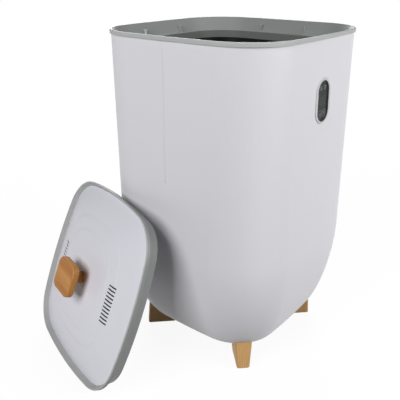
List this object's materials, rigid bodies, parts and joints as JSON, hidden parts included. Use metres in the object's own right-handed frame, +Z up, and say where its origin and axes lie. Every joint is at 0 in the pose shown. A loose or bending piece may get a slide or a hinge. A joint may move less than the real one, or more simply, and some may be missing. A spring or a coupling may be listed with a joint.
{
  "type": "bucket towel warmer",
  "caption": "Tall rounded-square bucket towel warmer on wooden feet, heated liner, push-button panel, and a loose domed lid with a wooden knob leaning on its side.",
  "frame": {"origin": "on the bucket's vertical axis at floor level, in the middle of the four feet", "axes": "+Z up, the control panel faces -Y, the loose lid leans against the -X side"},
  "size_m": [0.442, 0.4034, 0.5],
  "materials": {
    "shell_white": "satin white moulded plastic",
    "trim_grey": "matt mid-grey moulded plastic",
    "liner_dark": "black non-stick coating",
    "heater_foil": "foil heater",
    "insulation": "felt blanket",
    "steel": "zinc plated",
    "inner_grey": "matt dark grey",
    "rubber_black": "soft black",
    "circuit": "solder mask",
    "bezel_pale": "satin pale grey",
    "panel_dark": "satin dark grey",
    "display_dark": "smoked window",
    "wood": "oiled beech"
  },
  "bodies": {
    "bucket": {"outer_shell": "shell_white", "rim_collar": "trim_grey", "inner_liner": "liner_dark", "liner_heater": "heater_foil", "base_heater": "heater_foil", "insulation_wrap": "insulation", "thermostat": "steel", "thermal_fuse": "steel", "temperature_sensor": "steel", "carrier_screws": "steel", "foot_screws": "steel", "cover_screws": "steel", "board_screws": "steel", "liner_screws": "steel", "base_cover": "inner_grey", "board_carrier": "inner_grey", "cord_gland": "rubber_black", "control_harness": "rubber_black", "power_board": "circuit", "control_board": "circuit", "button_switches": "circuit", "panel_bezel": "bezel_pale", "panel_fascia": "panel_dark", "display_window": "display_dark", "foot_rear_right": "wood", "foot_rear_left": "wood", "foot_front_left": "wood", "foot_front_right": "wood"},
    "lid": {"lid_rim": "trim_grey", "lid_panel": "shell_white", "lid_inner_plate": "inner_grey", "lid_screws": "steel", "knob_neck": "wood", "knob_block": "wood", "knob_washer": "steel", "knob_screw": "steel"},
    "power_button": {"power_button": "panel_dark"},
    "timer_button": {"timer_button": "panel_dark"}
  },
  "joints": [
    {"name": "lid_lift", "type": "slide", "parent": "bucket", "child": "lid", "axis": [-0.8909, 0.2741, 0.3623], "range_m": [0, 0.25]},
    {"name": "power_press", "type": "slide", "parent": "bucket", "child": "power_button", "axis": [0, 1, 0], "range_m": [0, 0.001], "stiffness_N_per_m": 900},
    {"name": "timer_press", "type": "slide", "parent": "bucket", "child": "timer_button", "axis": [0, 1, 0], "range_m": [0, 0.001], "stiffness_N_per_m": 900}
  ]
}
